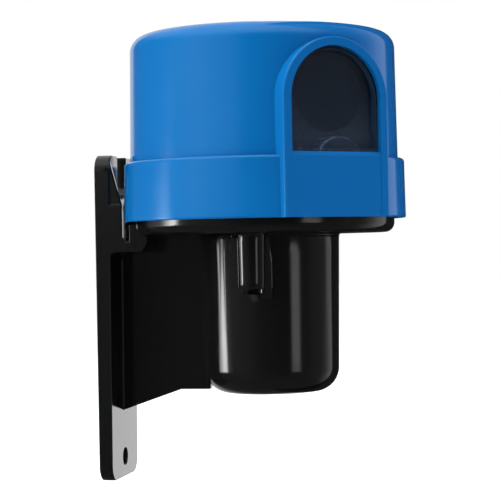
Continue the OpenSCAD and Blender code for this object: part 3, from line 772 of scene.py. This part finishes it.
@dataclass
class Board(SubAssembly):
    """Circuit board with its screws and components.

    Attributes:
        top: height of the board's upper face.
        relay_up: height of the relay case's middle, under the board.
        relay_h: height of the relay's case.
        film_h: height of the film capacitor.
        smoothing_h: height of the smoothing capacitor.
        timing_h: height of the timing capacitor.
        varistor_d: diameter of the varistor's disc.
        varistor_lift: height of that disc over the board.
        fuse_h: height of the fuse.
        transistor_h: height of the transistor's body.
        transistor_lift: height of that body over the board.
        row: place of the diodes' middles across the board.
        diode_long: length of a diode's body.
        resistor_long: length of a resistor's body.
    """

    edge: float = 0.1 * MM
    top: float = 27.7 * MM
    relay_up: float = 17.1 * MM
    relay_h: float = 14.8 * MM
    film_h: float = 13.6 * MM
    smoothing_h: float = 16.0 * MM
    timing_h: float = 11.0 * MM
    varistor_d: float = 10.0 * MM
    varistor_lift: float = 1.0 * MM
    fuse_h: float = 8.0 * MM
    transistor_h: float = 4.6 * MM
    transistor_lift: float = 2.0 * MM
    row: float = -0.5 * MM
    diode_long: float = 5.2 * MM
    resistor_long: float = 6.4 * MM

    def standing(
        self, name: str, colour: Colour, height: float, lift: float = 0.0, **looks: object
    ) -> LeadedBody:
        """Finish of an upright component, whose body is lifted off the board where it has long leads."""
        half = height / 2
        return LeadedBody(name, colour, along=Along.UP, middle=self.top + lift + half, half=half, **looks)

    def lying(self, name: str, colour: Colour, **looks: object) -> LeadedBody:
        """Finish of an axial component in the diode row."""
        half = self.diode_long / 2
        return LeadedBody(name, colour, along=Along.ACROSS, middle=self.row, half=half, **looks)

    def tall_parts(self) -> dict[str, Finish]:
        """Finish of the components that stand on the board or hang under it.

        Returns:
            The finishes by node name.
        """
        relay = LeadedBody(
            "relay_case", (0.02, 0.11, 0.3),
            along=Along.UP, middle=self.relay_up, half=self.relay_h / 2, specular=0.4,
        )
        film = self.standing("film_box", (0.03, 0.018, 0.006), self.film_h, gloss=(0.5, 0.6), specular=0.05)
        smoothing = self.standing(
            "smoothing_sleeve", (0.012, 0.014, 0.05), self.smoothing_h, bands=((0.997, SILVER),)
        )
        timing = self.standing("timing_sleeve", (0.01, 0.01, 0.012), self.timing_h, bands=((0.996, SILVER),))
        varistor = self.standing(
            "varistor_coat", (0.02, 0.09, 0.32), self.varistor_d, self.varistor_lift, grain=Grain.MATT
        )
        return {
            "relay": relay,
            "film_capacitor": film,
            "smoothing_capacitor": smoothing,
            "timing_capacitor": timing,
            "varistor": varistor,
            "fuse": self.standing("fuse_case", (0.06, 0.02, 0.012), self.fuse_h),
            "transistor": self.standing("transistor_epoxy", INK, self.transistor_h, self.transistor_lift),
        }

    def lying_parts(self) -> dict[str, Finish]:
        """Finish of the components that lie on the board.

        Returns:
            The finishes by node name.
        """
        epoxy = (0.008, 0.008, 0.008)
        amber = (0.45, 0.12, 0.02)
        beige = (0.5, 0.33, 0.17)
        red = (0.25, 0.03, 0.01)
        orange = (0.6, 0.2, 0.01)
        gold = (0.45, 0.3, 0.08)
        code = (
            (0.2, red), (0.28, beige), (0.4, INK), (0.48, beige),
            (0.6, orange), (0.68, beige), (0.82, gold), (0.9, beige),
        )
        resistors = LeadedBody(
            "resistor_coat", beige,
            along=Along.BESIDE_WINDOW, middle=AXIS_BESIDE, half=self.resistor_long / 2, bands=code,
        )
        return {
            "rectifier_diodes": self.lying("diode_epoxy", epoxy, bands=((0.74, SILVER), (0.9, epoxy))),
            "zener_diode": self.lying("zener_glass", amber, bands=((0.76, INK), (0.9, amber))),
            "resistors": resistors,
        }

    def finishes(self) -> dict[str, Finish]:
        """Finish of each node.

        Returns:
            The finishes by node name.
        """
        laminate = Laminate("board_laminate", (0.18, 0.1, 0.035))
        board = {"circuit_board": laminate, "board_screws": SCREW_STEEL}
        return {**board, **self.tall_parts(), **self.lying_parts()}


@dataclass
class LightSensor(SubAssembly):
    """Light sensor in its holder behind the window's sill.

    Attributes:
        front: distance of the sensor's face from the cap's axis.
        depth: thickness of the sensor.
        aside: shift of the sensor off the window's middle.
        up: height of the sensor's middle.
        highlight_radius: radius at which the holder's painted highlight starts.
    """

    edge: float = 0.2 * MM
    front: float = 27.3 * MM
    depth: float = 2.4 * MM
    aside: float = 4.5 * MM
    up: float = 35.3 * MM
    highlight_radius: float = 6.2 * MM

    def finishes(self) -> dict[str, Finish]:
        """Finish of each node.

        Returns:
            The finishes by node name.
        """
        half = self.depth / 2
        middle = AXIS * Along.TO_WINDOW.value[0] + self.front - half
        face = SensorFace("sensor_face", (0.06, 0.055, 0.05), along=Along.TO_WINDOW, middle=middle, half=half)
        holder = HighlightedHolder(
            "holder_moulding", (0.02, 0.02, 0.022), gloss=(0.2, 0.3), grain=Grain.GLOSS, cloud=0.1,
            across=AXIS_BESIDE + self.aside, height=self.up, highlight_radius=self.highlight_radius,
        )
        return {"photoresistor": face, "sensor_holder": holder}


@dataclass
class Terminals(SubAssembly):
    """Three screw terminals for the wires."""

    edge: float = 0.12 * MM

    def finishes(self) -> dict[str, Finish]:
        """Finish of each node.

        Returns:
            The finishes by node name.
        """
        green = MouldedPlastic("terminal_moulding", (0.02, 0.2, 0.06), gloss=(0.3, 0.42), cloud=0.08)
        return {
            "terminal_block": green,
            "terminal_clamps": PlatedMetal("clamp_brass", (0.6, 0.42, 0.16)),
            "terminal_screws": SCREW_STEEL,
        }


@dataclass(frozen=True)
class LampPanel:
    """A soft lamp panel that hangs round the object and faces it.

    Attributes:
        name: name of the lamp.
        angle: degrees to the right of the camera, seen from the object.
        rise: degrees above the horizon.
        away: distance from the object, in metres.
        size: width and height of the panel, in metres.
        power: lamp power in watts.
        cast: colour of the light.
    """

    name: str
    angle: float
    rise: float
    away: float
    size: Span
    power: float
    cast: Colour = WHITE


@dataclass
class Studio:
    """Camera, lamps, floor and backdrop.

    Attributes:
        azimuth: turn of the camera about the cap's axis, in degrees.
        distance: camera distance from the axis.
        height: camera height.
        aside: shift of the axis to the right of the picture's middle.
        lens: focal length in millimetres.
        sensor: width of the camera's sensor in millimetres.
        roll: turn of the camera about its line of sight, in degrees.
        nearest: distance from which the camera sees.
        lamps: the lamp panels.
        aim: height at which the lamps are aimed.
        floor_side: side of the floor, in metres.
        floor_down: depth of the floor under the wall plate's middle.
        floor_colour: colour of the floor.
        floor_glow: light that the floor adds for the camera, so that it shows white.
        flag_spot: middle of the dark flag behind the object.
        flag_size: width and height of that flag.
        felt_low: darkest colour of its felt.
        felt_high: lightest colour of its felt.
    """

    azimuth: float = 11.0
    distance: float = 423.0 * MM
    height: float = 15.9 * MM
    aside: float = 3.78 * MM
    lens: float = 125.1
    sensor: float = 36.0
    roll: float = 1.05
    nearest: float = 10.0 * MM
    lamps: tuple[LampPanel, ...] = (
        LampPanel("left_soft", -64.0, 25.0, 0.9, (0.6, 0.8), 11.2, (0.88, 1.0, 0.79)),
        LampPanel("front_soft", 40.0, 40.0, 1.0, (0.7, 0.7), 0.6),
        LampPanel("right_soft", 98.0, 20.0, 1.0, (0.5, 0.8), 6.0),
        LampPanel("top_soft", -20.0, 78.0, 0.9, (0.6, 0.6), 9.2, (0.82, 1.0, 0.79)),
    )
    aim: float = 15.0 * MM
    floor_side: float = 8.0
    floor_down: float = 75.0 * MM
    floor_colour: Colour = (0.8, 0.8, 0.8)
    floor_glow: float = 0.8
    flag_spot: Way = (82.5 * MM, 60.0 * MM, 0.0)
    flag_size: Span = (75.0 * MM, 1600.0 * MM)
    felt_low: Colour = (0.01, 0.01, 0.01)
    felt_high: Colour = (0.03, 0.03, 0.03)

    def directions(self) -> tuple[Vector, Vector]:
        """Level directions from the object to the camera and to the picture's right."""
        turn = math.radians(self.azimuth)
        return Vector((math.sin(turn), -math.cos(turn), 0.0)), Vector((math.cos(turn), math.sin(turn), 0.0))

    def set_camera(self) -> None:
        """Sets up the camera at the photograph's angle."""
        toward, right = self.directions()
        data = bpy.data.cameras.new("camera")
        data.lens = self.lens
        data.sensor_width = self.sensor
        data.clip_start = self.nearest
        camera = bpy.data.objects.new("camera", data)
        bpy.context.scene.collection.objects.link(camera)
        spot = Vector((AXIS, 0.0, self.height)) + toward * self.distance - right * self.aside
        turn = Matrix((right, Vector(Along.UP.value), toward)).transposed().to_4x4()
        roll = Matrix.Rotation(math.radians(-self.roll), 4, "Z")
        camera.matrix_world = Matrix.Translation(spot) @ turn @ roll
        bpy.context.scene.camera = camera

    def hang_lamp(self, panel: LampPanel) -> None:
        """Hangs a lamp, whose mirror image is a card of the backdrop.

        Args:
            panel: the lamp panel.
        """
        toward, right = self.directions()
        turn = math.radians(panel.angle)
        lift = math.radians(panel.rise)
        level = toward * math.cos(turn) + right * math.sin(turn)
        way = level * math.cos(lift) + Vector(Along.UP.value) * math.sin(lift)
        data = bpy.data.lights.new(panel.name, "AREA")
        data.shape = "RECTANGLE"
        data.size, data.size_y = panel.size
        data.energy = panel.power
        data.color = panel.cast
        lamp = bpy.data.objects.new(panel.name, data)
        lamp.location = Vector((AXIS, 0.0, self.aim)) + way * panel.away
        lamp.rotation_euler = way.to_track_quat("Z", "Y").to_euler()
        lamp.visible_glossy = False
        lamp.visible_transmission = False
        bpy.context.scene.collection.objects.link(lamp)

    def lay_floor(self) -> None:
        """Lays the pale floor well under the object, white for the camera."""
        bpy.ops.mesh.primitive_plane_add(size=self.floor_side, location=(0.0, 0.0, -self.floor_down))
        floor = bpy.context.object
        floor.name = "floor"
        floor.visible_glossy = False
        floor.visible_transmission = False
        material, bench = node_material("pale_floor")
        path = bench.tree.nodes.new("ShaderNodeLightPath")
        strength = bench.math("MULTIPLY", path.outputs["Is Camera Ray"], self.floor_glow)
        matt = bench.add("ShaderNodeBsdfDiffuse", Color=(*self.floor_colour, 1.0))
        glow = bench.add("ShaderNodeEmission", Color=(*WHITE, 1.0), Strength=strength)
        both = bench.tree.nodes.new("ShaderNodeAddShader")
        bench.feed(both.inputs[0], matt.outputs["BSDF"])
        bench.feed(both.inputs[1], glow.outputs["Emission"])
        bench.close(both.outputs["Shader"])
        floor.data.materials.append(material)

    def stand_flag(self) -> None:
        """Stands a dark card behind the object on the right, which only gloss sees."""
        upright = (math.pi / 2, 0.0, 0.0)
        bpy.ops.mesh.primitive_plane_add(size=1.0, location=self.flag_spot, rotation=upright)
        flag = bpy.context.object
        flag.name = "dark_flag"
        flag.scale = (*self.flag_size, 1.0)
        flag.visible_camera = False
        flag.visible_diffuse = False
        flag.visible_transmission = False
        flag.visible_shadow = False
        material, bench = node_material("dark_felt")
        nap = bench.tint(bench.noise(Clouds.STAIN), self.felt_low, self.felt_high)
        felt = bench.add("ShaderNodeBsdfDiffuse", Color=nap)
        bench.close(felt.outputs["BSDF"])
        flag.data.materials.append(material)

    def build(self) -> None:
        """Sets up the camera, the lamps, the floor and what gloss mirrors."""
        self.set_camera()
        for panel in self.lamps:
            self.hang_lamp(panel)
        self.lay_floor()
        self.stand_flag()
        Backdrop().build(*self.directions())


@dataclass
class Backdrop:
    """White backdrop for the camera, with the studio's cards and walls as gloss and glass see them.

    The rows give degrees to the right of the camera and radiance, or slope over the horizon and share.

    Attributes:
        room: strength of the room's even light.
        peak: radiance of the brightest card.
        walls: walls round the object.
        boxes: light boxes in front of those walls.
        fade: share of the boxes' light by slope.
        screen: large pale screen that stands high on the left.
        lift: share of the screen's light by slope.
        ceiling: ceiling by direction.
        ceiling_from: slopes at which the ceiling starts and is full.
        ground: radiance of the floor's far parts.
        ground_from: slopes at which those parts start and are full.
    """

    room: float = 0.31
    peak: float = 13.0
    walls: Row = (
        (-152.0, 0.8), (-146.0, 0.1), (-110.0, 0.08), (-75.0, 0.09), (-57.0, 0.14), (-38.0, 0.12),
        (-29.0, 0.07), (-22.0, 0.05), (-12.0, 0.03), (25.0, 0.02), (34.0, 0.09), (50.0, 0.09), (57.0, 0.07),
        (66.0, 0.09), (76.0, 0.14), (92.0, 0.14), (104.0, 0.34), (117.0, 0.75), (137.0, 0.8), (141.0, 1.0),
        (152.0, 1.75),
    )
    boxes: Row = (
        (-125.0, 0.1), (-108.0, 0.6), (-101.0, 2.4), (-96.0, 6.0), (-90.0, 13.0), (-84.0, 13.0),
        (-81.5, 0.5), (-70.0, 0.1), (-50.0, 0.0),
        (32.0, 0.0), (36.0, 1.5), (46.0, 1.5), (50.0, 0.1), (54.0, 0.0),
    )
    fade: Row = (
        (-0.17, 0.0), (-0.11, 1.0), (0.012, 1.0), (0.02, 0.25), (0.03, 0.16), (0.045, 0.08), (0.06, 0.03),
        (0.09, 0.015), (0.2, 0.0),
    )
    screen: Row = ((-125.0, 0.0), (-104.0, 0.05), (-92.0, 0.1), (-70.0, 0.2), (-29.0, 0.33), (-14.0, 0.0))
    lift: Row = ((0.0, 0.0), (0.03, 0.3), (0.07, 1.0))
    ceiling: Row = ((-180.0, 1.1), (50.0, 1.1), (78.0, 0.15), (120.0, 0.15), (142.0, 1.2))
    ceiling_from: Span = (0.4, 0.75)
    ground: float = 0.08
    ground_from: Span = (-0.3, -0.7)

    def cards(self, bench: NodeBench, turn: Socket, row: Row) -> Socket:
        """Radiance of a row of cards, by the direction round the object as a turn from 0 to 1."""
        stops = [((180.0 + place) / 360.0, (part / self.peak,) * 3) for place, part in row]
        return bench.math("MULTIPLY", bench.ramp(turn, stops), self.peak)

    def mirrored(self, bench: NodeBench, toward: Vector, right: Vector) -> Socket:
        """Radiance of the cards round the object, the ceiling and the floor's far parts.

        Args:
            bench: bench of the world's nodes.
            toward: level direction from the object to the camera.
            right: level direction to the picture's right.

        Returns:
            The radiance by direction.
        """
        angle = bench.math("ARCTAN2", bench.dot(tuple(right)), bench.dot(tuple(toward)))
        turn = bench.span(angle, 0.0, 1.0, -math.pi, math.pi)
        rise = bench.dot(Along.UP.value)
        slope = bench.span(rise, 0.0, 1.0, -1.0, 1.0)
        level = self.cards(bench, turn, self.walls)
        for row, heights in ((self.boxes, self.fade), (self.screen, self.lift)):
            shares = bench.ramp(slope, [((1.0 + place) / 2, (share,) * 3) for place, share in heights])
            level = bench.math("ADD", level, bench.math("MULTIPLY", self.cards(bench, turn, row), shares))
        ceiling = self.cards(bench, turn, self.ceiling)
        for goal, slopes in ((ceiling, self.ceiling_from), (self.ground, self.ground_from)):
            share = bench.span(rise, 0.0, 1.0, *slopes)
            kept = bench.math("MULTIPLY", level, bench.math("SUBTRACT", 1.0, share))
            level = bench.math("ADD", kept, bench.math("MULTIPLY", share, goal))
        return level

    def build(self, toward: Vector, right: Vector) -> None:
        """Lights the room evenly, shows white behind the object and gives gloss the cards to mirror.

        Args:
            toward: level direction from the object to the camera.
            right: level direction to the picture's right.
        """
        world = bpy.data.worlds.new("studio")
        bpy.context.scene.world = world
        world.use_nodes = True
        bench = NodeBench(world.node_tree, "Generated")
        path = bench.tree.nodes.new("ShaderNodeLightPath").outputs
        strengths = (self.room, self.mirrored(bench, toward, right), 1.0)
        room, mirrored, white = (
            bench.add("ShaderNodeBackground", Color=(*WHITE, 1.0), Strength=strength).outputs["Background"]
            for strength in strengths
        )
        bent = bench.math("MAXIMUM", path["Is Glossy Ray"], path["Is Transmission Ray"])
        lit = bench.mix(bent, room, mirrored)
        bench.close(bench.mix(path["Is Camera Ray"], lit, white), "ShaderNodeOutputWorld")


def main() -> None:
    """Builds the sub-assemblies in order and sets up the studio."""
    logging.basicConfig(level=logging.INFO, format="%(message)s")
    bpy.context.scene.view_settings.view_transform = "Standard"
    made: dict[str, bpy.types.Material] = {}
    for part in (Cap(), Base(), Board(), LightSensor(), Terminals()):
        part.build(made)
    Studio().build()


if __name__ == "__main__":
    main()
